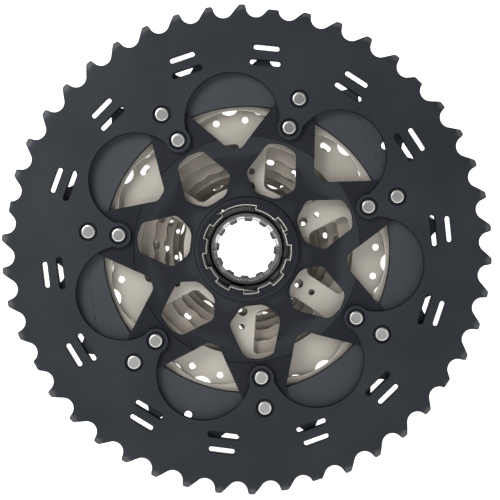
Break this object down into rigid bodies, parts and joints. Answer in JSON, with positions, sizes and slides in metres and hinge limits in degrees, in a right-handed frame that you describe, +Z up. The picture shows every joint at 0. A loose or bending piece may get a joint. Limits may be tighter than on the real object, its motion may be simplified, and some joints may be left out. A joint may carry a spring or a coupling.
{
  "type": "cassette sprocket",
  "caption": "Bicycle rear cassette: stacked toothed sprockets on a splined, windowed black carrier with rivets, spacers and a screwed lock ring.",
  "frame": {"origin": "on the axis of rotation, at the flat inboard end of the carrier's hub, which seats on the freehub's shoulder", "axes": "+Y along the axis, outboard, from the largest sprocket to the lock ring; +Z up, +X to the right seen from the wheel side"},
  "size_m": [0.188, 0.0431, 0.1882],
  "materials": {
    "black_alloy": "bead-blasted, black anodised",
    "black_steel": "satin black coating",
    "nickel_steel": "satin nickel plate",
    "rivet_steel": "satin",
    "black_plastic": "moulded, matt",
    "lock_steel": "dark bright plating"
  },
  "bodies": {
    "root": {"carrier": "black_alloy", "sprocket_46t": "black_steel", "sprocket_37t": "black_steel", "sprocket_32t": "nickel_steel", "outer_rivet_1": "rivet_steel", "outer_rivet_2": "rivet_steel", "outer_rivet_3": "rivet_steel", "outer_rivet_4": "rivet_steel", "outer_rivet_5": "rivet_steel", "outer_rivet_6": "rivet_steel", "outer_rivet_7": "rivet_steel", "inner_rivet_1": "rivet_steel", "inner_rivet_2": "rivet_steel", "inner_rivet_3": "rivet_steel", "inner_rivet_4": "rivet_steel", "inner_rivet_5": "rivet_steel", "inner_rivet_6": "rivet_steel", "inner_rivet_7": "rivet_steel"},
    "sprocket_block": {"sprocket_28t": "nickel_steel", "sprocket_24t": "nickel_steel", "sprocket_21t": "nickel_steel", "sprocket_19t": "nickel_steel", "spacer_28_24": "black_plastic", "spacer_24_21": "black_plastic", "spacer_21_19": "black_plastic", "block_pin_1": "rivet_steel", "block_pin_2": "rivet_steel", "block_pin_3": "rivet_steel"},
    "loose_17t": {"spacer_19_17": "black_plastic", "sprocket_17t": "nickel_steel"},
    "loose_15t": {"spacer_17_15": "black_plastic", "sprocket_15t": "nickel_steel"},
    "loose_13t": {"sprocket_13t": "nickel_steel"},
    "loose_11t": {"sprocket_11t": "nickel_steel"},
    "lock_washer": {"lock_washer": "lock_steel"},
    "lock_ring": {"lock_ring": "lock_steel"}
  },
  "joints": [
    {"name": "sprocket_block_slide", "type": "slide", "parent": "root", "child": "sprocket_block", "axis": [0, 1, 0], "range_m": [0, 0.03]},
    {"name": "sprocket_17t_slide", "type": "slide", "parent": "sprocket_block", "child": "loose_17t", "axis": [0, 1, 0], "range_m": [0, 0.015]},
    {"name": "sprocket_15t_slide", "type": "slide", "parent": "loose_17t", "child": "loose_15t", "axis": [0, 1, 0], "range_m": [0, 0.015]},
    {"name": "sprocket_13t_slide", "type": "slide", "parent": "loose_15t", "child": "loose_13t", "axis": [0, 1, 0], "range_m": [0, 0.015]},
    {"name": "sprocket_11t_slide", "type": "slide", "parent": "loose_13t", "child": "loose_11t", "axis": [0, 1, 0], "range_m": [0, 0.015]},
    {"name": "lock_ring_travel", "type": "slide", "parent": "loose_11t", "child": "lock_washer", "axis": [0, 1, 0], "range_m": [0, 0.00579]},
    {"name": "lock_ring_turn", "type": "hinge", "parent": "lock_washer", "child": "lock_ring", "pos_m": [0, 0.04, 0], "axis": [0, 1, 0], "range_deg": [0, 1800]}
  ],
  "couplings": [
    {"joint": "lock_ring_travel", "follows": "lock_ring_turn", "m_per_rad": 0.00016844}
  ]
}
